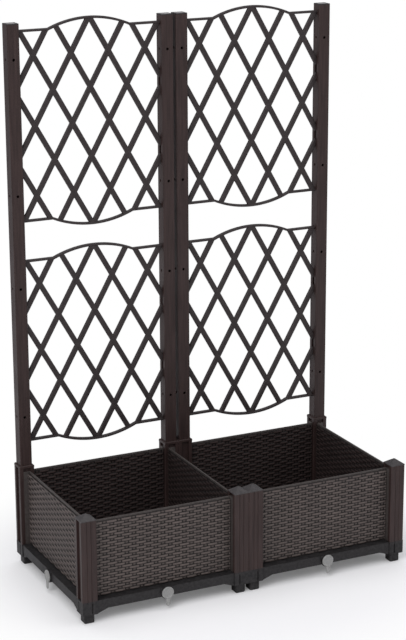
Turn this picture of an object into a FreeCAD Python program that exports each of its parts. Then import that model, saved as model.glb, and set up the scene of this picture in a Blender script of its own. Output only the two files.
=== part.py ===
import FreeCAD, Part
import os
from math import sqrt
from types import SimpleNamespace

import Sketcher

# Two square planters stand side by side, each with four fluted corner posts,
# four wicker panels in the posts' grooves and a moulded base tray on four feet.
# Square trellis posts stand on the back corner posts and carry two moulded
# lattices above each planter. Round drain plugs close the trays' outlets.
#
# Millimetres. X to the right, Y to the back, Z up. The origin is on the floor,
# midway between the two planters and at half their depth.

os.makedirs("parts", exist_ok=True)
doc = FreeCAD.newDocument("PlanterWithTrellis")
sheet = doc.addObject("Spreadsheet::Sheet", "Sizes")

DRIVING_SIZES = {
    # planter
    "module_side": 405.0,     # one planter, width and depth
    "fit_gap": 0.3,           # clearance round every plugged or slotted joint
    # corner posts
    "post_side": 36.0,
    "post_rise": 187.0,       # height of the corner post itself
    "post_bevel": 1.2,
    "groove_wide": 18.0,      # panel groove in three of the post's faces
    "groove_deep": 5.0,
    "flute_wide": 2.6,        # two V flutes down the post's outer face
    "flute_deep": 1.1,
    "flute_apart": 10.0,
    "core_bore": 20.6,        # square bore right through the post
    "cap_edge": 1.6,          # upright edge of the pyramid cap
    "cap_rise": 11.4,
    "cap_tip": 2.0,
    "cap_plug": 18.0,         # how far the cap's plug reaches into the post
    "collar_rise": 6.0,
    "collar_bevel": 1.5,
    # base tray
    "foot_side": 24.0,
    "foot_rise": 22.0,
    "foot_bevel": 2.0,
    "block_rise": 31.0,       # corner block between foot and post
    "block_slot_wide": 3.0,
    "block_slot_lift": 2.0,   # from the block's underside to the slot
    "block_slot_tall": 24.0,
    "block_slot_deep": 2.5,
    "block_plug": 40.0,       # square plug that the post slides over
    "tray_recess": 2.0,       # skirt face behind the posts' faces
    "skirt_wall": 3.0,
    "skirt_lift": 9.0,        # skirt's lower edge above the blocks' undersides
    "skirt_drop": 0.5,        # skirt's top below the blocks' tops
    "gusset_long": 25.0,
    "floor_thick": 2.5,
    "rib_wide": 4.0,          # upright rib behind the panel's foot
    "rib_reach": 5.0,         # the rib's height above the panel's foot
    # wicker panels
    "panel_thick": 4.0,
    "panel_drop": 9.0,        # panels' top below the posts' tops
    "panel_border": 4.0,
    "weave_inset": 0.5,       # woven field below the border, on both faces
    # drain outlets and plugs
    "outlet_bore": 12.0,
    "outlet_lift": 0.5,       # the bore's lowest line above the tray's floor
    "outlet_wall": 2.4,       # wall of the spout inside the skirt
    "apron_margin": 1.5,      # the round apron on the skirt, beyond the plug's rim
    "plug_radius": 14.0,
    "plug_thick": 3.0,
    "plug_rim": 2.2,
    "plug_dish": 1.2,         # depth of the dished face inside the rim
    "plug_stem": 14.0,
    "plug_bevel": 1.0,
    "stem_gap": 0.4,
    "tab_wide": 9.5,
    "tab_thick": 2.0,
    "tab_long": 30.5,         # from the plug's middle down to the tab's end
    "seal_thick": 1.5,
    "seal_wide": 3.5,         # from the outlet's bore to the seal's rim
    # trellis posts
    "trellis_side": 28.5,
    "trellis_wall": 2.5,
    "trellis_start": 62.1,    # bare post below the lower lattice
    "trellis_between": 92.4,  # bare post between the two lattices
    "trellis_head": 18.0,     # bare post above the upper lattice
    "trellis_bevel": 1.0,
    "spigot_long": 60.0,
    "spigot_solid": 5.0,      # closed bottom of the hollow post
    "end_thick": 2.0,
    "end_plug": 12.0,
    "hole_bore": 6.5,
    "hole_inset": 5.4,        # holes nearer the lattice's middle than its second row
    # lattices
    "row_pitch": 78.7,
    "edge_hidden": 8.75,      # part of the last half column that the post cuts off
    "bar_wide": 12.0,
    "bar_deep": 8.0,
    "rail_wide": 5.5,
    "rail_deep": 10.0,
    "rail_reach": 55.1,       # from the lattice's second row to the rail's middle line
    "arch_half": 98.0,
    "arch_rise": 21.0,
    "lattice_tuck": 2.2,      # into the slots in the posts
}

for row, (word, number) in enumerate(DRIVING_SIZES.items(), start=1):
    sheet.set(f"A{row}", word)
    sheet.set(f"B{row}", str(number))
    sheet.setAlias(f"B{row}", word)
doc.recompute()


class Size:
    """A number with the sheet formula that gives it."""

    def __init__(self, formula, value):
        self.formula = formula
        self.value = value

    def __add__(self, other):
        return joined(self, "+", other, self.value + number_of(other))

    def __radd__(self, other):
        return joined(other, "+", self, number_of(other) + self.value)

    def __sub__(self, other):
        return joined(self, "-", other, self.value - number_of(other))

    def __rsub__(self, other):
        return joined(other, "-", self, number_of(other) - self.value)

    def __mul__(self, other):
        return joined(self, "*", other, self.value * number_of(other))

    def __rmul__(self, other):
        return joined(other, "*", self, number_of(other) * self.value)

    def __truediv__(self, other):
        return joined(self, "/", other, self.value / number_of(other))

    def __neg__(self):
        return joined(0, "-", self, -self.value)

    def root(self):
        return Size(f"sqrt({self.formula})", sqrt(self.value))


def number_of(thing):
    return thing.value if isinstance(thing, Size) else float(thing)


def formula_of(thing):
    return thing.formula if isinstance(thing, Size) else str(float(thing))


def joined(left, sign, right, value):
    return Size(f"({formula_of(left)} {sign} {formula_of(right)})", value)


def lesser(one, other):
    return Size(f"min({one.formula}; {other.formula})", min(one.value, other.value))


s = SimpleNamespace(**{word: Size(f"Sizes.{word}", float(sheet.get(word))) for word in DRIVING_SIZES})

# posts and their places
outer_face = s.module_side / 2
half_post = s.post_side / 2
post_at = outer_face - half_post                 # post's middle from the planter's middle
clear_half = outer_face - s.post_side            # from the planter's middle to a post's side
plug_side = s.core_bore - 2 * s.fit_gap          # every square plug in the posts' bore
block_top = s.foot_rise + s.block_rise
post_top = block_top + s.post_rise
# tray, panels and outlets
skirt_bottom = s.foot_rise + s.skirt_lift
skirt_top = block_top - s.skirt_drop
panel_bottom = block_top
panel_rise = post_top - s.panel_drop - panel_bottom
panel_half_long = clear_half + s.groove_deep - s.fit_gap
panel_half_thick = s.groove_wide / 2 - s.fit_gap
outlet_height = skirt_bottom + s.floor_thick + s.outlet_lift + s.outlet_bore / 2
# lattices: two and a bit rows of diamonds above and below the middle, two columns each way
half_trellis = s.trellis_side / 2
trellis_bore_half = half_trellis - s.trellis_wall
lattice_half = post_at - half_trellis + s.lattice_tuck
column_pitch = (post_at - half_trellis + s.edge_hidden) / 2
rail_at = 2 * s.row_pitch + s.rail_reach         # rail's middle line from the lattice's middle
diagonal = (s.row_pitch * s.row_pitch + column_pitch * column_pitch / 4).root()
diamond_half_wide = column_pitch / 2 - s.bar_wide / 2 * diagonal / s.row_pitch
diamond_half_tall = diamond_half_wide * 2 * s.row_pitch / column_pitch
arch_radius = (s.arch_half * s.arch_half + s.arch_rise * s.arch_rise) / (2 * s.arch_rise)
lattice_low = post_top + s.trellis_start + rail_at
lattice_high = lattice_low + 2 * rail_at + s.trellis_between
trellis_top = lattice_high + rail_at + s.trellis_head
tube_top = trellis_top - s.end_thick

OVER = 1.0       # how far a cutting tool stands proud of what it cuts
FRONT, RIGHT, BACK, LEFT = range(4)              # quarter turns from the front
SIDES = {"front": (0, -1), "right": (1, 0), "back": (0, 1), "left": (-1, 0)}
CORNERS = {"front_left": (-1, -1), "front_right": (1, -1), "back_left": (-1, 1), "back_right": (1, 1)}
PARTS = []


def bind(thing, prop, size):
    thing.setExpression(prop, formula_of(size))


def place(thing, x=0, y=0, z=0, quarters=0):
    """Turns a thing by quarters about Z, then moves it."""
    thing.Placement.Rotation = FreeCAD.Rotation(FreeCAD.Vector(0, 0, 1), 90 * quarters)
    for axis, size in zip("xyz", (x, y, z)):
        bind(thing, f"Placement.Base.{axis}", size)
    return thing


def piece(design, label, x, y, z, quarters=0):
    """One moulding of a design, in its own place. It is what the STEP file holds."""
    body = doc.addObject("PartDesign::Body", label)
    copy = doc.addObject("PartDesign::FeatureBase", label + "_moulding")
    copy.BaseFeature = design
    body.Group = [copy]
    body.Tip = copy
    PARTS.append(place(body, x, y, z, quarters))


def box(name, low, high):
    """A box between its low and high corners."""
    thing = doc.addObject("Part::Box", name)
    for prop, near, far in zip(("Length", "Width", "Height"), low, high):
        bind(thing, prop, far - near)
    return place(thing, *low)


def square_column(name, side, bottom, top, x=0, y=0):
    return box(name, (x - side / 2, y - side / 2, bottom), (x + side / 2, y + side / 2, top))


def cylinder(name, radius, start, along, length):
    """A cylinder that starts at a point and runs along +X or +Y."""
    axis, angle = {"X": ((0, 1, 0), 90), "Y": ((1, 0, 0), -90)}[along]
    thing = doc.addObject("Part::Cylinder", name)
    bind(thing, "Radius", radius)
    bind(thing, "Height", length)
    place(thing, *start)
    thing.Placement.Rotation = FreeCAD.Rotation(FreeCAD.Vector(*axis), angle)
    return thing


def fuse(name, things):
    thing = doc.addObject("Part::MultiFuse", name)
    thing.Shapes = things
    thing.Refine = True
    return thing


def cut(name, base, tools):
    thing = doc.addObject("Part::Cut", name)
    thing.Base = base
    thing.Tool = tools[0] if len(tools) == 1 else fuse(name + "_tools", tools)
    thing.Refine = True
    return thing


def arc_between(start, end, radius, bulge):
    """The short arc from start to end that bulges to their left (1) or right (-1)."""
    chord = end - start
    left = FreeCAD.Vector(-chord.y, chord.x, 0) / chord.Length
    sagitta = radius - sqrt(radius**2 - chord.Length**2 / 4)
    return Part.Arc(start, (start + end) / 2 + left * sagitta * bulge, end)


def draw(sketch, corners):
    """Adds a closed outline through corners (x, y); a corner (x, y, radius, bulge) starts an arc."""
    points = [FreeCAD.Vector(number_of(corner[0]), number_of(corner[1]), 0) for corner in corners]
    edges = []
    for start, end, corner in zip(points, points[1:] + points[:1], corners):
        if len(corner) == 2:
            edges.append((sketch.addGeometry(Part.LineSegment(start, end), False), 1, 2))
            continue
        radius, bulge = corner[2:]
        edge = sketch.addGeometry(arc_between(start, end, number_of(radius), bulge), False)
        edges.append((edge, 2, 1) if bulge > 0 else (edge, 1, 2))
        rule = sketch.addConstraint(Sketcher.Constraint("Radius", edge, number_of(radius)))
        bind(sketch, f"Constraints[{rule}]", radius)
    for (edge, first, last), (after, after_first, _), corner in zip(edges, edges[1:] + edges[:1], corners):
        sketch.addConstraint(Sketcher.Constraint("Coincident", edge, last, after, after_first))
        for kind, size in zip(("DistanceX", "DistanceY"), corner):
            rule = sketch.addConstraint(Sketcher.Constraint(kind, -1, 1, edge, first, number_of(size)))
            bind(sketch, f"Constraints[{rule}]", size)


def new_sketch(body, name, role, offset, *outlines):
    """A sketch on one of the body's own planes, moved along its normal, with its outlines."""
    sketch = body.newObject("Sketcher::SketchObject", name)
    plane = [item for item in body.Origin.OriginFeatures if item.Role == role][0]
    sketch.AttachmentSupport = [(plane, "")]
    sketch.MapMode = "FlatFace"
    bind(sketch, "AttachmentOffset.Base.z", offset)
    for outline in outlines:
        draw(sketch, outline)
    return sketch


def square(half):
    return [(-half, -half), (half, -half), (half, half), (-half, half)]


def bevelled_square(half, bevel):
    one_side = [(bevel - half, -half), (half - bevel, -half)]
    return around(one_side, one_side, one_side, one_side)


def around(front, right, back, left):
    """Joins four runs of points, each drawn as the front side, into one outline."""
    outline = list(front)
    outline += [(-y, x) for x, y in right]
    outline += [(-x, -y) for x, y in back]
    outline += [(y, -x) for x, y in left]
    return outline


def pad(body, sketch, length, name, back=False):
    """Pads along the sketch's normal, or against it if back is set."""
    thing = body.newObject("PartDesign::Pad", name)
    thing.Profile = sketch
    thing.Reversed = back
    bind(thing, "Length", length)
    return thing


def pocket(body, sketch, length, name, back=False):
    """Cuts against the sketch's normal, or along it if back is set."""
    thing = body.newObject("PartDesign::Pocket", name)
    thing.Profile = sketch
    thing.Reversed = back
    bind(thing, "Length", length)
    return thing


def loft(body, sketches, name):
    thing = body.newObject("PartDesign::AdditiveLoft", name)
    thing.Profile = sketches[0]
    thing.Sections = sketches[1:]
    return thing


def plate_and_plug(body, name, plate, thick, plug, plug_long):
    """An outline padded up from the body's origin and a plug padded down from it."""
    pad(body, new_sketch(body, name + "_plate", "XY_Plane", 0, plate), thick, name + "_plate_pad")
    pad(body, new_sketch(body, name + "_plug", "XY_Plane", 0, plug), plug_long, name + "_plug_pad", True)


# ---- corner posts, caps and collars

def corner_post(name):
    """Drawn as a front post: flutes on its outer face, panel grooves on the other three."""
    body = doc.addObject("PartDesign::Body", name)
    edge = half_post - s.post_bevel
    half_flute = s.flute_wide / 2
    fluted = [(-edge, -half_post)]
    for middle in (-s.flute_apart / 2, s.flute_apart / 2):
        fluted += [(middle - half_flute, -half_post), (middle, s.flute_deep - half_post),
                   (middle + half_flute, -half_post)]
    fluted += [(edge, -half_post)]
    half_groove = s.groove_wide / 2
    groove_floor = s.groove_deep - half_post
    grooved = [(-edge, -half_post), (-half_groove, -half_post), (-half_groove, groove_floor),
               (half_groove, groove_floor), (half_groove, -half_post), (edge, -half_post)]
    profile = new_sketch(body, name + "_profile", "XY_Plane", 0,
                         around(fluted, grooved, grooved, grooved), square(s.core_bore / 2))
    pad(body, profile, s.post_rise, name + "_length")
    return body


def pyramid_cap(name):
    """A low pyramid on an upright edge, with a square plug that drops into the post."""
    body = doc.addObject("PartDesign::Body", name)
    plate_and_plug(body, name, square(half_post), s.cap_edge, square(plug_side / 2), s.cap_plug)
    eave = new_sketch(body, name + "_eave", "XY_Plane", s.cap_edge, square(half_post))
    tip = new_sketch(body, name + "_tip", "XY_Plane", s.cap_edge + s.cap_rise, square(s.cap_tip / 2))
    loft(body, [eave, tip], name + "_pyramid")
    return body


def collar(name):
    """A square ring on the back corner post, round the trellis post's foot."""
    body = doc.addObject("PartDesign::Body", name)
    straight = s.collar_rise - s.collar_bevel
    ring = new_sketch(body, name + "_ring", "XY_Plane", 0, square(half_post))
    pad(body, ring, straight, name + "_ring_pad")
    lower = new_sketch(body, name + "_lower", "XY_Plane", straight, square(half_post))
    upper = new_sketch(body, name + "_upper", "XY_Plane", s.collar_rise, square(half_post - s.collar_bevel))
    loft(body, [lower, upper], name + "_slope")
    hole = new_sketch(body, name + "_hole", "XY_Plane", 0, square(half_trellis + s.fit_gap))
    pocket(body, hole, s.collar_rise, name + "_opening", True)
    return body


# ---- base tray

def skirt_wall(name, has_outlet):
    """One side of the tray, drawn as the front: skirt, ledge, panel rib and drain outlet."""
    skirt_face = s.tray_recess - outer_face
    rib_front = half_post + s.groove_wide / 2 - outer_face
    rib_back = rib_front + s.rib_wide
    skirt = doc.addObject("PartDesign::Body", name + "_skirt")
    outline = new_sketch(skirt, name + "_skirt_outline", "XZ_Plane", -skirt_face, [
        (-clear_half, s.foot_rise),
        (s.gusset_long - clear_half, skirt_bottom),
        (clear_half - s.gusset_long, skirt_bottom),
        (clear_half, s.foot_rise),
        (clear_half, skirt_top),
        (-clear_half, skirt_top),
    ])
    pad(skirt, outline, s.skirt_wall, name + "_skirt_pad", True)
    ledge = box(name + "_ledge", (-clear_half, skirt_face, skirt_top - s.skirt_wall),
                (clear_half, rib_back, skirt_top))
    web = box(name + "_web", (-clear_half, rib_front, skirt_bottom), (clear_half, rib_back, skirt_top))
    rib_end = clear_half - s.fit_gap
    rib = box(name + "_rib", (-rib_end, rib_front, skirt_top), (rib_end, rib_back, panel_bottom + s.rib_reach))
    if not has_outlet:
        return fuse(name, [skirt, ledge, web, rib])
    apron_half = s.plug_radius + s.apron_margin
    apron = new_sketch(skirt, name + "_apron", "XZ_Plane", outer_face, [
        (-apron_half, outlet_height, apron_half, -1),
        (0, outlet_height - apron_half, apron_half, -1),
        (apron_half, outlet_height),
        (apron_half, skirt_top),
        (-apron_half, skirt_top),
    ])
    pad(skirt, apron, s.tray_recess + s.skirt_wall, name + "_apron_pad", True)
    spout = cylinder(name + "_spout", s.outlet_bore / 2 + s.outlet_wall, (0, skirt_face, outlet_height),
                     "Y", rib_back - skirt_face)
    bore = cylinder(name + "_bore", s.outlet_bore / 2, (0, -outer_face - OVER, outlet_height), "Y",
                    rib_back + outer_face + 2 * OVER)
    return cut(name, fuse(name + "_solid", [skirt, ledge, web, rib, spout]), [bore])


def corner_block(name):
    """Foot, block and post plug of the tray's front left corner, with two open slots."""
    foot = doc.addObject("PartDesign::Body", name + "_foot")
    half_foot = s.foot_side / 2
    sole = new_sketch(foot, name + "_sole", "XY_Plane", 0,
                      bevelled_square(half_foot - s.foot_bevel, s.foot_bevel))
    ankle = new_sketch(foot, name + "_ankle", "XY_Plane", s.foot_bevel,
                       bevelled_square(half_foot, s.foot_bevel))
    loft(foot, [sole, ankle], name + "_sole_bevel")
    shaft = new_sketch(foot, name + "_shaft", "XY_Plane", s.foot_bevel,
                       bevelled_square(half_foot, s.foot_bevel))
    pad(foot, shaft, s.foot_rise - s.foot_bevel, name + "_shaft_pad")
    place(foot, -post_at, -post_at)
    block = square_column(name + "_block", s.post_side, s.foot_rise, block_top, -post_at, -post_at)
    plug = square_column(name + "_plug", plug_side, block_top, block_top + s.block_plug, -post_at, -post_at)
    middle = s.flute_apart / 2 - post_at
    near, far = middle - s.block_slot_wide / 2, middle + s.block_slot_wide / 2
    face, depth = -outer_face - OVER, s.block_slot_deep - outer_face
    low = s.foot_rise + s.block_slot_lift
    high = low + s.block_slot_tall
    slots = [box(name + "_front_slot", (near, face, low), (far, depth, high)),
             box(name + "_side_slot", (face, near, low), (depth, far, high))]
    return cut(name, fuse(name + "_solid", [foot, block, plug]), slots)


def base_tray(name, outlet_sides):
    floor_half = outer_face - s.tray_recess - s.skirt_wall / 2
    pieces = [box(name + "_floor", (-floor_half, -floor_half, skirt_bottom),
                  (floor_half, floor_half, skirt_bottom + s.floor_thick))]
    for side in range(4):
        pieces.append(place(skirt_wall(f"{name}_wall_{side}", side in outlet_sides), quarters=side))
        pieces.append(place(corner_block(f"{name}_corner_{side}"), quarters=side))
    return fuse(name, pieces)


# ---- wicker panels

def wicker_panel(name):
    """A thin sheet on the planter's side of the posts' grooves; its thick ends fill the grooves."""
    body = doc.addObject("PartDesign::Body", name)
    sheet_front = panel_half_thick - s.panel_thick
    plan = [(-panel_half_long, -panel_half_thick), (-clear_half, -panel_half_thick), (-clear_half, sheet_front),
            (clear_half, sheet_front), (clear_half, -panel_half_thick), (panel_half_long, -panel_half_thick),
            (panel_half_long, panel_half_thick), (-panel_half_long, panel_half_thick)]
    pad(body, new_sketch(body, name + "_plan", "XY_Plane", 0, plan), panel_rise, name + "_height")
    field_half = clear_half - s.panel_border
    low, high = s.panel_border, panel_rise - s.panel_border
    field = [(-field_half, low), (field_half, low), (field_half, high), (-field_half, high)]
    for face, offset, back in (("front", -sheet_front, False), ("back", -panel_half_thick, True)):
        sketch = new_sketch(body, f"{name}_{face}", "XZ_Plane", offset, field)
        pocket(body, sketch, s.weave_inset, f"{name}_{face}_field", back)
    return body


# ---- drain plugs

def drain_plug(name):
    """Drawn for the front: a dished disc on a stem along +Y, with a pull tab below."""
    body = doc.addObject("PartDesign::Body", name)
    stem_radius = s.outlet_bore / 2 - s.stem_gap
    dish = s.plug_dish - s.plug_thick
    half = new_sketch(body, name + "_half", "XY_Plane", 0, [
        (0, dish),
        (s.plug_radius - 2 * s.plug_rim, dish),
        (s.plug_radius - s.plug_rim, -s.plug_thick),
        (s.plug_radius - s.plug_rim / 2, -s.plug_thick),
        (s.plug_radius, s.plug_rim / 2 - s.plug_thick),
        (s.plug_radius, 0),
        (stem_radius, 0),
        (stem_radius, s.plug_stem - s.plug_bevel),
        (stem_radius - s.plug_bevel, s.plug_stem),
        (0, s.plug_stem),
    ])
    disc = body.newObject("PartDesign::Revolution", name + "_disc")
    disc.Profile = half
    disc.ReferenceAxis = (half, ["V_Axis"])
    disc.Angle = 360
    half_tab = s.tab_wide / 2
    tab_end = -s.tab_long
    tab_back = (s.plug_thick - s.tab_thick) / 2
    tab = new_sketch(body, name + "_tab", "XZ_Plane", tab_back + s.tab_thick, [
        (-half_tab, half_tab + tab_end, half_tab, -1),
        (0, tab_end, half_tab, -1),
        (half_tab, half_tab + tab_end),
        (half_tab, s.plug_rim - s.plug_radius),
        (-half_tab, s.plug_rim - s.plug_radius),
    ])
    pad(body, tab, s.tab_thick, name + "_strap", True)
    return body


def plug_seal(name):
    """A flat ring between the disc and the outlet's pad."""
    ring = cylinder(name + "_ring", s.outlet_bore / 2 + s.seal_wide, (0, 0, 0), "Y", s.seal_thick)
    bore = cylinder(name + "_bore", s.outlet_bore / 2, (0, -OVER, 0), "Y", s.seal_thick + 2 * OVER)
    return cut(name, ring, [bore])


# ---- trellis

def trellis_post(name):
    """A square tube with a solid foot plug, drilled both ways, with lattice slots on its +X side."""
    body = doc.addObject("PartDesign::Body", name + "_tube")
    long = tube_top - post_top
    plate_and_plug(body, name, bevelled_square(half_trellis, s.trellis_bevel), long,
                   square(plug_side / 2), s.spigot_long)
    bore = new_sketch(body, name + "_bore", "XY_Plane", s.spigot_solid, square(trellis_bore_half))
    pocket(body, bore, long - s.spigot_solid, name + "_hollow", True)
    # at the post's face the lattice's last column of diamonds is open by this much, up and down
    gap_half = diamond_half_tall * (1 - s.edge_hidden / diamond_half_wide)
    bar_ends = (gap_half - s.fit_gap, 2 * s.row_pitch - gap_half + s.fit_gap, s.bar_deep)
    rail_half = s.rail_wide / 2 + s.fit_gap
    rail_ends = (2 * s.row_pitch + lesser(gap_half - s.fit_gap, s.rail_reach - rail_half),
                 rail_at + rail_half, s.rail_deep)
    across = s.trellis_side + 2 * OVER
    tools = []
    for level, middle in (("low", lattice_low - post_top), ("high", lattice_high - post_top)):
        for side in (-1, 1):
            spot = f"{name}_{level}_{'upper' if side > 0 else 'lower'}"
            hole = middle + (2 * s.row_pitch - s.hole_inset) * side
            tools.append(cylinder(spot + "_hole_x", s.hole_bore / 2, (-half_trellis - OVER, 0, hole),
                                  "X", across))
            tools.append(cylinder(spot + "_hole_y", s.hole_bore / 2, (0, -half_trellis - OVER, hole),
                                  "Y", across))
            for kind, (near, far, deep) in (("bar", bar_ends), ("rail", rail_ends)):
                low, high = (near, far) if side > 0 else (-far, -near)
                half_deep = deep / 2 + s.fit_gap
                tools.append(box(f"{spot}_{kind}_slot", (trellis_bore_half - OVER, -half_deep, middle + low),
                                 (half_trellis + OVER, half_deep, middle + high)))
    return cut(name, body, tools)


def trellis_end(name):
    """Flat plug that closes the top of a trellis post."""
    body = doc.addObject("PartDesign::Body", name)
    plate_and_plug(body, name, bevelled_square(half_trellis, s.trellis_bevel), s.end_thick,
                   square(trellis_bore_half - s.fit_gap), s.end_plug)
    return body


def arched_edge(height, side, onward):
    """An edge with flat ends and an arched middle, above (1) or below (-1) the lattice's middle.
    onward is 1 from left to right and -1 from right to left."""
    half = s.arch_half * onward
    end = lattice_half * onward
    level = height * side
    return [(-end, level), (-half, level, arch_radius, side * onward), (half, level), (end, level)]


def lattice(name):
    """A plate with diamond openings, open at its sides, and an arched rail at top and bottom."""
    body = doc.addObject("PartDesign::Body", name)
    outline = arched_edge(rail_at, -1, 1) + arched_edge(rail_at, 1, -1)
    plate = new_sketch(body, name + "_plate", "XZ_Plane", s.bar_deep / 2, outline)
    pad(body, plate, s.bar_deep, name + "_plate_pad", True)
    for kind, first_x, first_z, columns, rows in (("even", 2, 2, 5, 3), ("odd", 1.5, 3, 4, 4)):
        x = -column_pitch * first_x
        z = -s.row_pitch * first_z
        diamond = new_sketch(body, f"{name}_{kind}_diamond", "XZ_Plane", s.bar_deep / 2, [
            (x, z - diamond_half_tall), (x + diamond_half_wide, z),
            (x, z + diamond_half_tall), (x - diamond_half_wide, z)])
        opening = pocket(body, diamond, s.bar_deep, f"{name}_{kind}_opening")
        grid = body.newObject("PartDesign::LinearPattern", f"{name}_{kind}_grid")
        grid.Originals = [opening]
        grid.Direction = (diamond, ["H_Axis"])
        grid.Occurrences = columns
        bind(grid, "Length", column_pitch * (columns - 1))
        grid.Direction2 = (diamond, ["V_Axis"])
        grid.Occurrences2 = rows
        bind(grid, "Length2", s.row_pitch * 2 * (rows - 1))
        body.Tip = grid
    inner, outer = rail_at - s.rail_wide / 2, rail_at + s.rail_wide / 2
    for kind, band in (("top", arched_edge(inner, 1, 1) + arched_edge(outer, 1, -1)),
                       ("bottom", arched_edge(outer, -1, 1) + arched_edge(inner, -1, -1))):
        sketch = new_sketch(body, f"{name}_{kind}_rail", "XZ_Plane", s.rail_deep / 2, band)
        pad(body, sketch, s.rail_deep, f"{name}_{kind}_rail_pad", True)
    return body


# ---- the planters, side by side

tray = base_tray("tray", (FRONT, LEFT))
post = corner_post("post")
cap = pyramid_cap("cap")
ring = collar("collar")
panel = wicker_panel("panel")
upright = trellis_post("upright")
upright_end = trellis_end("upright_end")
screen = lattice("screen")
plug = drain_plug("plug")
seal = plug_seal("seal")

for planter, direction, turned in (("left", -1, 0), ("right", 1, 1)):
    x = outer_face * direction
    piece(tray, f"base_tray_{planter}", x, 0, 0, turned)
    for corner, (east, north) in CORNERS.items():
        at = (x + post_at * east, post_at * north)
        piece(post, f"corner_post_{planter}_{corner}", *at, block_top, FRONT if north < 0 else BACK)
        if north < 0:
            piece(cap, f"post_cap_{planter}_{corner}", *at, post_top)
            continue
        piece(ring, f"post_collar_{planter}_{corner}", *at, post_top)
        end = corner.removeprefix("back_")
        piece(upright, f"trellis_post_{planter}_{end}", *at, post_top, FRONT if east < 0 else BACK)
        piece(upright_end, f"trellis_end_{planter}_{end}", *at, tube_top)
    for quarters, (side, (east, north)) in enumerate(SIDES.items()):
        if (planter, side) == ("right", "left"):
            continue                             # both planters share the left one's right panel
        piece(panel, f"wicker_panel_{planter}_{side}", x + post_at * east, post_at * north, panel_bottom,
              quarters)
    for level, height in (("lower", lattice_low), ("upper", lattice_high)):
        piece(screen, f"lattice_{planter}_{level}", x, post_at, height)
    for side, quarters in (("front", FRONT), (planter, LEFT if direction < 0 else RIGHT)):
        out = outer_face + s.fit_gap + s.seal_thick
        east, north = SIDES[side]
        name = "front" if side == "front" else "side"
        at = (x + out * east, out * north, outlet_height)
        piece(plug, f"drain_plug_{planter}_{name}", *at, quarters)
        piece(seal, f"plug_seal_{planter}_{name}", *at, quarters)
doc.recompute()

failed = [item.Name for item in doc.Objects if {"Invalid", "Error"} & set(item.State)]
for part in PARTS:
    if part.Shape.isNull() or not part.Shape.isValid() or not part.Shape.Solids:
        failed.append(part.Label)
if failed:
    raise RuntimeError("these failed: " + ", ".join(failed))
for part in PARTS:
    part.Shape.exportStep(f"parts/{part.Label}.step")
    print(part.Label, len(part.Shape.Solids), round(part.Shape.Volume))
print(len(PARTS), "parts")
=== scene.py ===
from math import cos, pi, radians, sin, sqrt

import bmesh
import bpy
from mathutils import Matrix, Vector


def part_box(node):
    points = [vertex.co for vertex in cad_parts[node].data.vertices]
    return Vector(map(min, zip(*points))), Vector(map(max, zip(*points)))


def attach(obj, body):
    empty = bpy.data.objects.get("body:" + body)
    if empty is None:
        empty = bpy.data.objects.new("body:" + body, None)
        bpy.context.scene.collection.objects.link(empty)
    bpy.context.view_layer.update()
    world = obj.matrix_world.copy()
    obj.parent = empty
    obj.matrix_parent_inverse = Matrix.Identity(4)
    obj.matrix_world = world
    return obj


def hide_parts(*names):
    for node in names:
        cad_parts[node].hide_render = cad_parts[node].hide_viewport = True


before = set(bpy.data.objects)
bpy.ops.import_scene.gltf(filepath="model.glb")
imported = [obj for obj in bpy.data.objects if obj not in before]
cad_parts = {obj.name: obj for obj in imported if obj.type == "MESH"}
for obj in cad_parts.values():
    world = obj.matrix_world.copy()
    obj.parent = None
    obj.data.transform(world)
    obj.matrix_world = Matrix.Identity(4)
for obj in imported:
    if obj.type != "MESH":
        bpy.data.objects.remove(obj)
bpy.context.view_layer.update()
print("frame loaded:", len(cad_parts), "nodes")

# Every length is in metres. x runs to the right, y to the back, z up.
planterSizes = {
    "side": 0.405,
    "postSide": 0.036,
    "panelBottom": 0.053,
    "panelTop": 0.231,
    "sheetFront": 0.0047,     # panel's faces, inwards from the posts' middle plane
    "sheetBack": 0.0087,
}
postAt = (planterSizes["side"] - planterSizes["postSide"]) / 2


class Nodes:
    # Adds nodes to one tree.

    def __init__(self, tree):
        self.tree = tree

    def add(self, kind, settings=None, values=None, links=None):
        node = self.tree.nodes.new(kind)
        for name, value in (settings or {}).items():
            setattr(node, name, value)
        for name, value in (values or {}).items():
            node.inputs[name].default_value = value
        for name, source in (links or {}).items():
            self.tree.links.new(source.socket if isinstance(source, Field) else source, node.inputs[name])
        return node

    def field(self, kind, settings=None, values=None, links=None, output=0):
        return Field(self, self.add(kind, settings, values, links).outputs[output])


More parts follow.
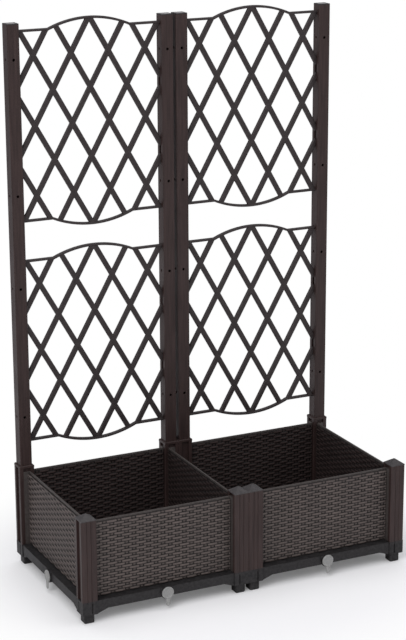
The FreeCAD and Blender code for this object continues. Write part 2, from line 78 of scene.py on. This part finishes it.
class Field:
    # A number or vector in a node tree, with arithmetic.

    def __init__(self, nodes, socket):
        self.nodes = nodes
        self.socket = socket

    def maths(self, operation, *others, first=None):
        parts = [self] + list(others) if first is None else [first, self]
        values = {i: float(part) for i, part in enumerate(parts) if not isinstance(part, Field)}
        links = {i: part for i, part in enumerate(parts) if isinstance(part, Field)}
        return self.nodes.field("ShaderNodeMath", {"operation": operation}, values, links)

    def __add__(self, other):
        return self.maths("ADD", other)

    def __radd__(self, other):
        return self.maths("ADD", first=other)

    def __sub__(self, other):
        return self.maths("SUBTRACT", other)

    def __rsub__(self, other):
        return self.maths("SUBTRACT", first=other)

    def __mul__(self, other):
        return self.maths("MULTIPLY", other)

    def __rmul__(self, other):
        return self.maths("MULTIPLY", first=other)

    def __truediv__(self, other):
        return self.maths("DIVIDE", other)

    def __rtruediv__(self, other):
        return self.maths("DIVIDE", first=other)

    def cosine(self):
        return self.maths("COSINE")

    def floor(self):
        return self.maths("FLOOR")

    def round(self):
        return self.maths("ROUND")

    def size(self):
        return self.maths("ABSOLUTE")

    def greater(self, other):
        return self.maths("MAXIMUM", other)

    def power(self, other):
        return self.maths("POWER", other)

    def within(self, low, high, toLow=0.0, toHigh=1.0):
        # Maps low..high smoothly to toLow..toHigh and stays inside them.
        values = {"From Min": low, "From Max": high, "To Min": toLow, "To Max": toHigh}
        return self.nodes.field("ShaderNodeMapRange", {"interpolation_type": "SMOOTHSTEP"}, values,
                                {"Value": self})

    def axes(self):
        node = self.nodes.add("ShaderNodeSeparateXYZ", links={0: self})
        return [Field(self.nodes, socket) for socket in node.outputs]


def combined(nodes, x, y, z):
    parts = {"X": x, "Y": y, "Z": z}
    values = {name: part for name, part in parts.items() if not isinstance(part, Field)}
    links = {name: part for name, part in parts.items() if isinstance(part, Field)}
    return nodes.field("ShaderNodeCombineXYZ", values=values, links=links)


def plastic(name, colours, roughness, build, gloss=0.3, seeThrough=0.0):
    # A moulded plastic. build(nodes, place) gives tone (0 dark to 1 light), shine, relief and its height.
    material = bpy.data.materials.new(name)
    material.use_nodes = True
    tree = material.node_tree
    tree.nodes.clear()
    nodes = Nodes(tree)
    place = nodes.field("ShaderNodeTexCoord", output="Object")
    tone, shine, relief, height = build(nodes, place)
    dark, light = [tuple(colour) + (1.0,) for colour in colours]
    mix = nodes.add("ShaderNodeMix", {"data_type": "RGBA"}, {6: dark, 7: light}, {0: tone})
    low, high = roughness
    bump = nodes.add("ShaderNodeBump", values={"Strength": 1.0, "Distance": height},
                     links={"Height": relief})
    shader = nodes.add("ShaderNodeBsdfPrincipled",
                       values={"Specular IOR Level": gloss, "Transmission Weight": seeThrough},
                       links={"Base Color": mix.outputs[2], "Roughness": low + shine * (high - low),
                              "Normal": bump.outputs[0]})
    nodes.add("ShaderNodeOutputMaterial", links={"Surface": shader.outputs[0]})
    return material


def noise(nodes, place, scale, detail=4.0, roughness=0.55, stretch=(1, 1, 1)):
    # Fractal noise from 0 to 1; scale is in features per metre, along each axis.
    spread = nodes.add("ShaderNodeVectorMath", {"operation": "MULTIPLY"},
                       {1: [scale * part for part in stretch]}, {0: place})
    return nodes.field("ShaderNodeTexNoise", {"noise_dimensions": "3D"},
                       {"Scale": 1.0, "Detail": detail, "Roughness": roughness},
                       {"Vector": spread.outputs[0]})


def grainBuilder(stretch, streakScale, fineScale, toneLow, toneHigh, height):
    # Soft streaks along the moulding, fine grain, and a few smudges in the sheen.
    def build(nodes, place):
        streaks = noise(nodes, place, streakScale, 5, 0.6, stretch)
        fine = noise(nodes, place, fineScale, 3, 0.6)
        smudges = noise(nodes, place, 9, 4, 0.55)
        tone = (streaks * 0.65 + fine * 0.35).within(toneLow, toneHigh)
        shine = (smudges * 0.6 + fine * 0.4).within(0.3, 0.7)
        return tone, shine, fine * 0.55 + streaks * 0.45, height
    return build


# painted shade down inside the trays: where it reaches and how much it darkens
trayPaintedShade = {
    "walls": (0.172, 0.182),  # from a planter's middle, where the painted shade ends
    "top": (0.030, 0.034),    # above this height the tray is inside
    "darker": 0.8,
}


def trayBuilder(nodes, place):
    # The common grain, with painted shade that darkens the tray down inside the planters.
    tone, shine, relief, height = grainBuilder((1, 1, 1), 180, 1600, 0.3, 0.72, 0.00012)(nodes, place)
    x, y, z = place.axes()
    across = (x.size() - planterSizes["side"] / 2).size()
    # painted shade: inside the walls and above the floor the tray is darkened
    inside = (1 - across.greater(y.size()).within(*trayPaintedShade["walls"])) * z.within(*trayPaintedShade["top"])
    return tone * (1 - inside * trayPaintedShade["darker"]), shine, relief, height


def weaveBuilder(nodes, place):
    # Strands get a painted highlight where they ride high and painted shade, almost black, down in the
    # holes beside a stake.
    liftShade = nodes.field("ShaderNodeAttribute", {"attribute_name": "liftShade"}, output="Fac")
    strand = nodes.field("ShaderNodeAttribute", {"attribute_name": "strand"}, output="Fac")
    fibres = noise(nodes, place, 1500, 3, 0.6, (0.12, 0.12, 1))
    patches = noise(nodes, place, 16, 3, 0.5)
    tone = liftShade.within(0.12, 0.9) * (0.58 + strand * 0.36 + (fibres - 0.5) * 0.7 + (patches - 0.5) * 0.35)
    shine = (fibres * 0.5 + strand * 0.5).within(0.2, 0.8)
    return tone, shine, fibres, 0.00022


def endBuilder(middle):
    # A post's end plug: pale flat middle and a dark rim, between these distances from the middle.
    rim = (0.0088, 0.0112)

    def build(nodes, place):
        tone, shine, relief, height = grainBuilder((1, 1, 1), 180, 1600, 0.3, 0.72, 0.0001)(nodes, place)
        x, y, _ = place.axes()
        out = (x - middle[0]).size().greater((y - middle[1]).size())
        return (0.35 + tone * 0.65) * (1 - out.within(*rim)), shine, relief, height
    return build


postGrain = ((1, 1, 0.05), 260, 1500)
finishes = {
    "post": plastic("espressoPlastic", ((0.019, 0.0102, 0.0093), (0.046, 0.0270, 0.0248)), (0.42, 0.6),
                    grainBuilder(*postGrain, 0.28, 0.74, 0.00012)),
    "lattice": plastic("latticePlastic", ((0.022, 0.0165, 0.0165), (0.040, 0.031, 0.031)), (0.42, 0.58),
                       grainBuilder((1, 1, 1), 120, 1500, 0.3, 0.72, 0.0001)),
    "tray": plastic("trayPlastic", ((0.004, 0.0035, 0.0038), (0.034, 0.031, 0.032)), (0.5, 0.66),
                    trayBuilder),
    "cap": plastic("capPlastic", ((0.036, 0.032, 0.033), (0.062, 0.056, 0.057)), (0.42, 0.56),
                   grainBuilder((1, 1, 1), 180, 1600, 0.3, 0.72, 0.0001)),
    # the dark end is painted shade, nearly black, for the holes between strands
    "wicker": plastic("wovenStrands", ((0.002, 0.0012, 0.0012), (0.130, 0.103, 0.094)), (0.5, 0.68),
                      weaveBuilder),
    # a darker copy of the strands for the panels' inner faces: painted shade inside the planters
    "shadedInnerWicker": plastic("innerStrandsShaded", ((0.001, 0.0007, 0.0007), (0.052, 0.035, 0.033)), (0.5, 0.68),
                           weaveBuilder, 0.2),
    "panel": plastic("panelPlastic", ((0.040, 0.033, 0.031), (0.072, 0.061, 0.057)), (0.5, 0.64),
                     grainBuilder((1, 1, 1), 200, 1500, 0.3, 0.72, 0.0001)),
    "plug": plastic("frostedPlug", ((0.30, 0.30, 0.295), (0.50, 0.495, 0.48)), (0.35, 0.5),
                    grainBuilder((1, 1, 1), 500, 1500, 0.3, 0.72, 0.00006), 0.4, 0.35),
    "seal": plastic("sealRubber", ((0.008, 0.008, 0.008), (0.020, 0.020, 0.020)), (0.6, 0.8),
                    grainBuilder((1, 1, 1), 300, 1800, 0.3, 0.72, 0.00008)),
}
finishOf = {
    "base_tray": "tray", "corner_post": "post", "post_cap": "cap", "post_collar": "post",
    "trellis_post": "post", "wicker_panel": "panel", "lattice": "lattice",
    "drain_plug": "plug", "plug_seal": "seal",
}
for nodeName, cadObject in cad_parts.items():
    cadObject.data.materials.clear()
    if nodeName.startswith("trellis_end"):
        low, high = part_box(nodeName)
        finish = plastic("end" + nodeName, ((0.018, 0.015, 0.015), (0.30, 0.29, 0.29)), (0.45, 0.6),
                         endBuilder(((low[0] + high[0]) / 2, (low[1] + high[1]) / 2)))
    else:
        finish = finishes[next(finishOf[kind] for kind in finishOf if nodeName.startswith(kind))]
    cadObject.data.materials.append(finish)
print("materials ready:", len(finishes))


def geometryTree(name, inputs):
    # A geometry node tree with the named inputs, as {name: (socket type, value)}.
    tree = bpy.data.node_groups.new(name, "GeometryNodeTree")
    tree.interface.new_socket("Geometry", in_out="INPUT", socket_type="NodeSocketGeometry")
    tree.interface.new_socket("Geometry", in_out="OUTPUT", socket_type="NodeSocketGeometry")
    for label, (kind, value) in inputs.items():
        socket = tree.interface.new_socket(label, in_out="INPUT", socket_type=kind)
        if value is not None:
            socket.default_value = value
    nodes = Nodes(tree)
    entry = nodes.add("NodeGroupInput")
    return tree, nodes, {socket.name: Field(nodes, socket) for socket in entry.outputs if socket.name}


def closeTree(nodes, geometry, material):
    solid = nodes.add("GeometryNodeRealizeInstances", links={0: geometry})
    painted = nodes.add("GeometryNodeSetMaterial",
                        links={"Geometry": solid.outputs[0], "Material": material})
    nodes.add("NodeGroupOutput", links={0: painted.outputs[0]})


def settled(name, base, tree, settings):
    # Runs a tree on a mesh with these input settings and keeps the result as a plain mesh.
    holder = bpy.data.objects.new(name + "Source", base)
    bpy.context.collection.objects.link(holder)
    modifier = holder.modifiers.new("shape", "NODES")
    modifier.node_group = tree
    identifiers = {item.name: item.identifier for item in tree.interface.items_tree
                   if item.item_type == "SOCKET" and item.in_out == "INPUT"}
    for label, value in settings.items():
        modifier[identifiers[label]] = value
    holder.update_tag()
    graph = bpy.context.evaluated_depsgraph_get()
    graph.update()
    mesh = bpy.data.meshes.new_from_object(holder.evaluated_get(graph), preserve_all_data_layers=True,
                                           depsgraph=graph)
    bpy.data.objects.remove(holder)
    return mesh


def shown(name, mesh, smooth=True):
    # Puts a mesh into the scene as a piece that rides on the planters.
    mesh.name = name
    piece = bpy.data.objects.new(name, mesh)
    bpy.context.collection.objects.link(piece)
    mesh.polygons.foreach_set("use_smooth", [smooth] * len(mesh.polygons))
    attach(piece, "planter")
    return piece


weaveSizes = {
    "length": 0.331,          # woven field of one face
    "stakePitch": 0.01742,
    "course": 0.00614,        # height of one strand's course
    "fill": 0.93,             # strand's height as a share of its course
    "depth": 0.0017,          # how deep the holes beside a stake go
    "swell": 0.0015,          # how far a strand bulges over a stake
    "crown": 0.0008,          # how far a strand's middle stands above its edges
    "stakeHalf": 0.0024,      # half of the bare piece of a stake between its two holes
    "holeWidth": 0.0040,
    "unevenness": 0.00016,
    "topBorder": 0.0040,      # plain rim left above the weave
    "bottomBorder": 0.0020,   # and below it, on the outer face
    "aboveRib": 0.0054,       # on the inner face, clear of the tray's rib
    "sunk": 0.0003,           # how far the weave's back reaches into the panel's sheet
}


def weaveTree():
    # One woven face: a sheet of strands that pass over one stake and dive under the next.
    # It lies along x, its relief faces +y, and it starts at z = 0.
    number = "NodeSocketFloat"
    tree, nodes, given = geometryTree("weaveFace", {
        "Length": (number, 0.33), "Height": (number, 0.17), "Stake Pitch": (number, 0.0174),
        "Course": (number, 0.0058), "Fill": (number, 0.94), "Depth": (number, 0.001),
        "Swell": (number, 0.0011), "Crown": (number, 0.0008), "Stake Half": (number, 0.0029),
        "Hole Width": (number, 0.0029), "Unevenness": (number, 0.0001), "Seed": (number, 0.0),
        "Material": ("NodeSocketMaterial", None)})
    length, height, pitch, course = [
        given[label] for label in ("Length", "Height", "Stake Pitch", "Course")]
    courses = (height / course).round()
    perCourse, perStake = 5, 12             # points across a strand, and from stake to stake

    def uneven(place, scale, along):
        spread = nodes.add("ShaderNodeVectorMath", {"operation": "MULTIPLY"}, {1: scale}, {0: place})
        moved = nodes.add("ShaderNodeVectorMath", {"operation": "ADD"},
                          links={0: spread.outputs[0], 1: combined(nodes, given["Seed"] * along, 0.0, 0.0)})
        return nodes.field("ShaderNodeTexNoise", {"noise_dimensions": "3D"},
                           {"Scale": 1.0, "Detail": 2.0}, {"Vector": moved.outputs[0]}) - 0.5

    def kept(geometry, name, value):
        return nodes.field("GeometryNodeStoreNamedAttribute", {"data_type": "FLOAT", "domain": "POINT"},
                           {"Name": name}, {"Geometry": geometry, "Value": value})

    sheet = nodes.field("GeometryNodeMeshGrid", links={
        "Size X": length, "Size Y": height, "Vertices X": (length / pitch).round() * perStake + 1,
        "Vertices Y": courses * perCourse})
    place = nodes.field("GeometryNodeInputPosition")
    x, y, _ = place.axes()
    row = ((y / height + 0.5) * (courses * perCourse - 1)).round()
    turn = ((row + 0.5) / perCourse).floor()
    across = (row - turn * perCourse) / (perCourse - 1) * 2 - 1    # -1 to 1 over a strand's height
    stake = (x / pitch).round()
    aside = (x - stake * pitch).size()
    dives = 0.5 - ((stake + turn) * pi).cosine() * 0.5
    chance = uneven(combined(nodes, stake, turn, 0.0), (3.7, 5.3, 1), 2.3).within(-0.12, 0.12, 0.75, 1.0)
    holeEnd = given["Stake Half"] + given["Hole Width"]
    holeMiddle = given["Stake Half"] + given["Hole Width"] * 0.5
    stakeTop = ((holeMiddle - aside) / (holeMiddle - given["Stake Half"])).within(0, 1) * 0.85
    strandTop = ((aside - holeMiddle) / (holeEnd - holeMiddle)).within(0, 1)
    level = 1 - dives * chance * (1 - stakeTop.greater(strandTop))
    rounded = 1 - across * across
    wobble = uneven(combined(nodes, x, turn * 0.05, 0.0), (60, 200, 1), 3.1)
    sway = uneven(combined(nodes, x, turn * 0.05, 0.3), (35, 300, 1), 5.3)
    over = ((x / pitch + turn) * pi).cosine() * 0.5 + 0.5    # 1 above the stake that a strand passes over
    out = level * given["Depth"] + over * given["Swell"] + rounded * given["Crown"] * (0.4 + over * 0.6) \
        + wobble * given["Unevenness"] * 2
    up = (turn + 0.5 + across * given["Fill"] * 0.5) * (height / courses) + sway * given["Unevenness"] * 4
    # painted shade for the material: darker at a strand's edges, down in the holes, and where it dips under
    # a stake
    woven = kept(sheet, "liftShade", level * (0.32 + rounded * 0.68) * (0.80 + over * 0.20))
    lens = ((x / pitch + turn) * 0.5).floor()
    woven = kept(woven, "strand", uneven(combined(nodes, lens, turn, 0.7), (4.3, 7.1, 1), 7.7) * 1.6 + 0.5)
    woven = nodes.field("GeometryNodeSetPosition", links={
        "Geometry": woven, "Position": combined(nodes, x, out, up)})
    woven = nodes.field("GeometryNodeFlipFaces", links={0: woven})
    closeTree(nodes, woven, given["Material"])
    return tree


def backed(mesh, depth):
    # Closes a woven face behind: its rim goes back to y = -depth and a flat face fills it.
    work = bmesh.new()
    work.from_mesh(mesh)
    rim = [edge for edge in work.edges if edge.is_boundary]
    grown = bmesh.ops.extrude_edge_only(work, edges=rim)["geom"]
    for point in grown:
        if isinstance(point, bmesh.types.BMVert):
            point.co.y = -depth
    bmesh.ops.holes_fill(work, edges=[edge for edge in work.edges if edge.is_boundary], sides=0)
    bmesh.ops.recalc_face_normals(work, faces=work.faces)
    work.to_mesh(mesh)
    work.free()
    return mesh


def joinedMesh(name, parts):
    # One mesh from [(mesh, matrix)], with its point attributes kept.
    made = []
    for mesh, matrix in parts:
        copy = mesh.copy()
        copy.transform(matrix)
        if matrix.determinant() < 0:
            copy.flip_normals()
        holder = bpy.data.objects.new(name, copy)
        bpy.context.collection.objects.link(holder)
        made.append(holder)
    with bpy.context.temp_override(active_object=made[0], object=made[0], selected_objects=made,
                                   selected_editable_objects=made):
        bpy.ops.object.join()
    mesh = made[0].data
    bpy.data.objects.remove(made[0])
    return mesh


weave = weaveTree()
seed = 0
for planterName, sign in (("left", -1), ("right", 1)):
    for quarters, sideName in enumerate(("front", "right", "back", "left")):
        if f"wicker_panel_{planterName}_{sideName}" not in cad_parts:
            continue
        faces = []
        for outward in (True, False):
            seed += 1
            bottom = planterSizes["panelBottom"] + weaveSizes["bottomBorder" if outward else "aboveRib"]
            sheet = settled("weave", bpy.data.meshes.new("seedMesh"), weave, {
                "Length": weaveSizes["length"],
                "Height": planterSizes["panelTop"] - weaveSizes["topBorder"] - bottom,
                "Stake Pitch": weaveSizes["stakePitch"], "Course": weaveSizes["course"],
                "Fill": weaveSizes["fill"], "Depth": weaveSizes["depth"], "Swell": weaveSizes["swell"],
                "Crown": weaveSizes["crown"], "Stake Half": weaveSizes["stakeHalf"],
                "Hole Width": weaveSizes["holeWidth"], "Unevenness": weaveSizes["unevenness"],
                "Seed": float(seed), "Material": finishes["wicker" if outward else "shadedInnerWicker"]})
            backed(sheet, weaveSizes["sunk"])
            if outward:    # the tree's relief faces +y, so it is turned half round
                move = Matrix.Translation((0, planterSizes["sheetFront"], bottom)) \
                    @ Matrix.Rotation(pi, 4, "Z")
            else:
                move = Matrix.Translation((0, planterSizes["sheetBack"], bottom))
            faces.append((sheet, move))
        mesh = joinedMesh("weave", faces)
        panelPlace = Matrix.Translation((planterSizes["side"] / 2 * sign, 0, 0)) \
            @ Matrix.Rotation(radians(90 * quarters), 4, "Z") @ Matrix.Translation((0, -postAt, 0))
        mesh.transform(panelPlace)
        shown(f"weave_{planterName}_{sideName}", mesh)
print("weaves made")


latticeSizes = {
    "heights": (0.5146, 1.032),
    "rowPitch": 0.0787,
    "columnPitch": 0.0895,
    "barWidth": 0.012,
    "barDepth": 0.008,
    "barRound": 0.0022,
    "railWidth": 0.0055,
    "railDepth": 0.010,
    "railRound": 0.0016,
    "railAt": 0.2125,
    "archHalf": 0.098,
    "archRise": 0.021,
    "halfWidth": 0.17235,
    "outermost": 9,           # in half columns, where the last bars cross the middle line
}


def railHeight(x):
    # Height of the top rail's middle line above the lattice's middle.
    half, rise = latticeSizes["archHalf"], latticeSizes["archRise"]
    if abs(x) >= half:
        return latticeSizes["railAt"]
    radius = (half * half + rise * rise) / (2 * rise)
    return latticeSizes["railAt"] + rise - radius + sqrt(radius * radius - x * x)


def barEnd(start, step, slack=0.0):
    # Where a bar that runs from start along step leaves the lattice.
    low, high = 0.0, 1.0
    for _ in range(50):
        middle = (low + high) / 2
        x, z = start[0] + step.x * middle, start[1] + step.y * middle
        if abs(x) <= latticeSizes["halfWidth"] + slack and abs(z) <= railHeight(x):
            low = middle
        else:
            high = middle
    return start[0] + step.x * low, start[1] + step.y * low


def barsOneWay(direction):
    # Both ends of each bar that rises to the right (1) or to the left (-1).
    halfPitch = latticeSizes["columnPitch"] / 2
    slope = latticeSizes["rowPitch"] / halfPitch * direction
    along = Vector((1 / slope, 1)).normalized()
    ends = []
    for count in range(-latticeSizes["outermost"], latticeSizes["outermost"] + 1, 2):
        crossing = count * halfPitch
        if abs(crossing) <= latticeSizes["halfWidth"]:
            ends.append((barEnd((crossing, 0.0), along * -1), barEnd((crossing, 0.0), along)))
            continue
        # this bar would cross the middle line outside the lattice, so it starts at the post
        edge = latticeSizes["halfWidth"] * (1 if crossing > 0 else -1)
        start = (edge, slope * (edge - crossing))
        if abs(start[1]) <= railHeight(edge):
            ends.append((start, barEnd(start, along * (1 if start[1] > 0 else -1), 1e-6)))
    return ends


def railLine():
    # The top rail's middle line: flat, arched by short steps, flat.
    half, steps = latticeSizes["archHalf"], 28
    arch = [half * (i / (steps / 2) - 1) for i in range(steps + 1)]
    flatEnd = (latticeSizes["halfWidth"], latticeSizes["railAt"])
    return [(-flatEnd[0], flatEnd[1])] + [(x, railHeight(x)) for x in arch] + [flatEnd]


def lineMesh(name, chains):
    # Chains of (x, z) points as edges.
    mesh = bpy.data.meshes.new(name)
    points, edges = [], []
    for chain in chains:
        start = len(points)
        points += [(x, 0, z) for x, z in chain]
        edges += [(start + i, start + i + 1) for i in range(len(chain) - 1)]
    mesh.from_pydata(points, edges, [])
    return mesh


def sweptTree():
    # Sweeps a rounded rectangle along the mesh's edges, its depth along y.
    number = "NodeSocketFloat"
    tree, nodes, given = geometryTree("roundedBars", {
        "Width": (number, 0.012), "Depth": (number, 0.008), "Round": (number, 0.002),
        "Material": ("NodeSocketMaterial", None)})
    lines = nodes.field("GeometryNodeMeshToCurve", links={"Mesh": given["Geometry"]})
    lines = nodes.field("GeometryNodeSetCurveNormal", {"mode": "Z_UP"}, links={"Curve": lines})
    section = nodes.field("GeometryNodeCurvePrimitiveQuadrilateral", {"mode": "RECTANGLE"},
                          links={"Width": given["Depth"], "Height": given["Width"]})
    section = nodes.field("GeometryNodeFilletCurve", {"mode": "POLY"}, {"Count": 3},
                          {"Curve": section, "Radius": given["Round"]})
    swept = nodes.field("GeometryNodeCurveToMesh", values={"Fill Caps": True},
                        links={"Curve": lines, "Profile Curve": section})
    closeTree(nodes, swept, given["Material"])
    return tree


swept = sweptTree()
risingBars, fallingBars, topRail = barsOneWay(1), barsOneWay(-1), railLine()
rails = [topRail, [(x, -z) for x, z in topRail]]
barSettings = {"Width": latticeSizes["barWidth"], "Depth": latticeSizes["barDepth"],
               "Round": latticeSizes["barRound"], "Material": finishes["lattice"]}
railSettings = {"Width": latticeSizes["railWidth"], "Depth": latticeSizes["railDepth"],
                "Round": latticeSizes["railRound"], "Material": finishes["lattice"]}
apart = Matrix.Translation((0, 0.00004, 0))    # keeps crossing bars' faces from lying in one plane
latticeMesh = joinedMesh("lattice", [
    (settled("risingBars", lineMesh("rising", risingBars), swept, barSettings), Matrix.Identity(4)),
    (settled("fallingBars", lineMesh("falling", fallingBars), swept, barSettings), apart),
    (settled("rails", lineMesh("rails", rails), swept, railSettings), Matrix.Identity(4))])
for planterName, sign in (("left", -1), ("right", 1)):
    for levelName, height in zip(("lower", "upper"), latticeSizes["heights"]):
        mesh = latticeMesh.copy()
        mesh.transform(Matrix.Translation((planterSizes["side"] / 2 * sign, postAt, height)))
        piece = shown(f"bars_{planterName}_{levelName}", mesh, smooth=False)
        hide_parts(f"lattice_{planterName}_{levelName}")
print("lattices made:", len(risingBars) + len(fallingBars), "bars each")


# The floor is pale, lit and shaded near the planters, and turns plain white further off.
floorSizes = {
    "radius": 30,
    "corners": 96,
    "colour": (0.93, 0.92, 0.93, 1),
    "fade": (0.40, 0.70),     # distances over which the lit floor turns plain white
    "leastWhite": 0.14,       # its share of plain white near the planters
}
floorMesh = bpy.data.meshes.new("floor")
turns = [2 * pi * i / floorSizes["corners"] for i in range(floorSizes["corners"])]
ring = [(floorSizes["radius"] * cos(turn), floorSizes["radius"] * sin(turn), 0) for turn in turns]
floorMesh.from_pydata(ring, [], [list(range(len(ring)))])
floorPiece = bpy.data.objects.new("floor", floorMesh)
bpy.context.collection.objects.link(floorPiece)
floorMaterial = bpy.data.materials.new("paleFloor")
floorMaterial.use_nodes = True
floorMaterial.node_tree.nodes.clear()
ground = Nodes(floorMaterial.node_tree)
x, y, _ = ground.field("ShaderNodeTexCoord", output="Object").axes()
seenDirectly = ground.field("ShaderNodeLightPath", output="Is Camera Ray")
lit = ground.add("ShaderNodeBsdfDiffuse", values={"Color": floorSizes["colour"]})
white = ground.add("ShaderNodeEmission", values={"Color": (1, 1, 1, 1), "Strength": 1.0})
far = (x * x + y * y).power(0.5).within(*floorSizes["fade"], floorSizes["leastWhite"], 1.0)
blend = ground.add("ShaderNodeMixShader",
                   links={0: far * seenDirectly, 1: lit.outputs[0], 2: white.outputs[0]})
ground.add("ShaderNodeOutputMaterial", links={"Surface": blend.outputs[0]})
floorMesh.materials.append(floorMaterial)

lamps = {    # size, watts, place, and the point that it faces
    "keyLight": ((2.6, 2.6), 105, (-2.6, -2.4, 3.4), (0, 0, 0.5)),
    "fillLight": ((3.0, 2.0), 24, (3.2, -2.2, 2.2), (0, 0, 0.5)),
    "topLight": ((3.0, 3.0), 55, (0, 0.4, 4.2), (0, 0, 0.3)),
}
for lampName, (size, watts, place, target) in lamps.items():
    lampData = bpy.data.lights.new(lampName, "AREA")
    lampData.shape = "RECTANGLE"
    lampData.size, lampData.size_y = size
    lampData.energy = watts
    lamp = bpy.data.objects.new(lampName, lampData)
    bpy.context.collection.objects.link(lamp)
    lamp.location = place
    lamp.rotation_euler = (Vector(target) - Vector(place)).to_track_quat("-Z", "Y").to_euler()
print("floor and lamps made")

world = bpy.data.worlds.new("studio")
bpy.context.scene.world = world
world.use_nodes = True
world.node_tree.nodes.clear()
sky = Nodes(world.node_tree)
rays = sky.add("ShaderNodeLightPath")
seen = sky.add("ShaderNodeBackground", values={"Color": (1, 1, 1, 1), "Strength": 1.0})
lit = sky.add("ShaderNodeBackground", values={"Color": (0.93, 0.95, 1.0, 1), "Strength": 0.45})
chosen = sky.add("ShaderNodeMixShader", links={0: rays.outputs["Is Camera Ray"], 1: lit.outputs[0],
                                               2: seen.outputs[0]})
sky.add("ShaderNodeOutputWorld", links={"Surface": chosen.outputs[0]})
bpy.context.scene.view_settings.view_transform = "Standard"

cameraView = {
    "place": (-1.8638, -3.8291, 1.8143),
    "yaw": 25.78,             # degrees, from +Y towards +X
    "pitch": 16.05,           # degrees, downwards
    "roll": -0.26,
    "lens": 109.85,           # mm, on a 36 mm sensor along the longer side
}
yaw, pitch, roll = [radians(cameraView[word]) for word in ("yaw", "pitch", "roll")]
ahead = Vector((sin(yaw) * cos(pitch), cos(yaw) * cos(pitch), -sin(pitch)))
right = Vector((cos(yaw), -sin(yaw), 0))
up = right.cross(ahead)
right, up = cos(roll) * right + sin(roll) * up, cos(roll) * up - sin(roll) * right
cameraData = bpy.data.cameras.new("camera")
cameraData.sensor_width = 36
cameraData.lens = cameraView["lens"]
cameraData.clip_end = 100
camera = bpy.data.objects.new("camera", cameraData)
bpy.context.collection.objects.link(camera)
camera.matrix_world = Matrix.Translation(cameraView["place"]) \
    @ Matrix((right, up, -ahead)).transposed().to_4x4()
bpy.context.scene.camera = camera
